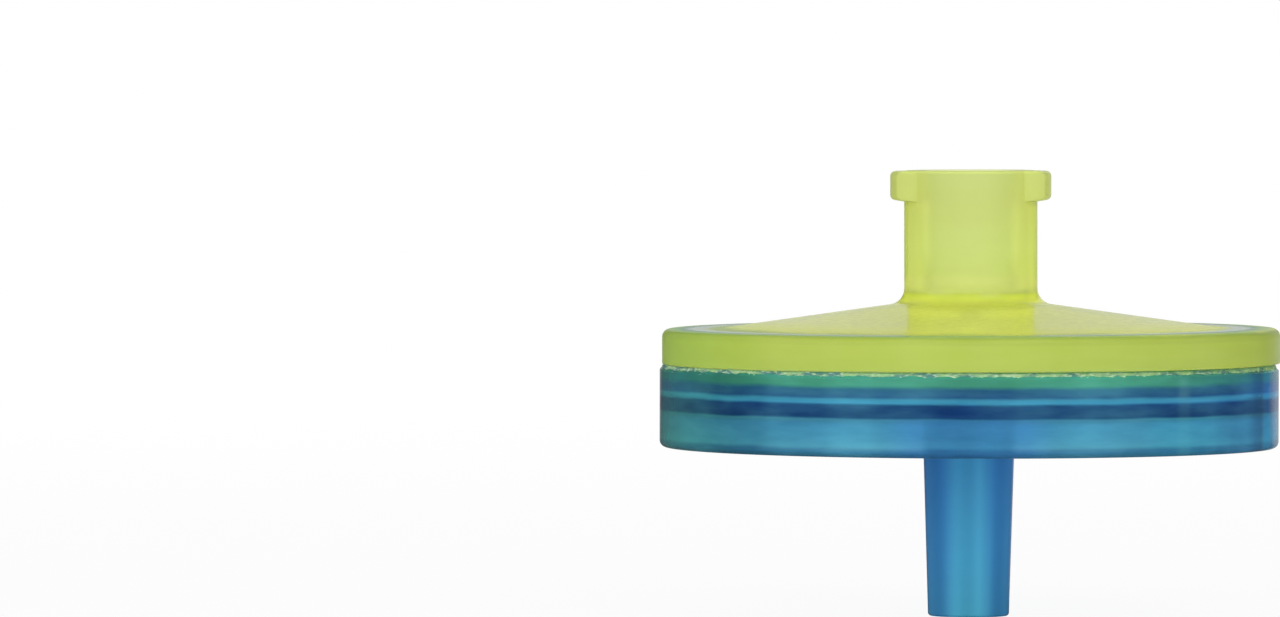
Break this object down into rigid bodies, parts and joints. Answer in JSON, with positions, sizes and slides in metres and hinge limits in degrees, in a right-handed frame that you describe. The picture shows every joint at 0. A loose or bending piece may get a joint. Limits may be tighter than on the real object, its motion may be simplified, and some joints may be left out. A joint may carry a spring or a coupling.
{
  "type": "syringe filter",
  "caption": "Round syringe filter with a lime inlet housing and lugged luer socket, a blue outlet housing with a tapered luer tip, and a membrane between them.",
  "frame": {"origin": "centre of the luer tip's end face, the lowest face of the part, on the flow axis", "axes": "+Z along the flow axis from the outlet tip up to the inlet socket, +X through the two locking lugs"},
  "size_m": [0.0302, 0.0302, 0.0217],
  "materials": {
    "lime_plastic": "translucent satin polypropylene, lime yellow",
    "blue_plastic": "translucent smooth polypropylene, blue",
    "membrane_white": "matt white porous film"
  },
  "bodies": {
    "root": {"inlet_housing": "lime_plastic", "outlet_housing": "blue_plastic", "membrane": "membrane_white"}
  },
  "joints": []
}
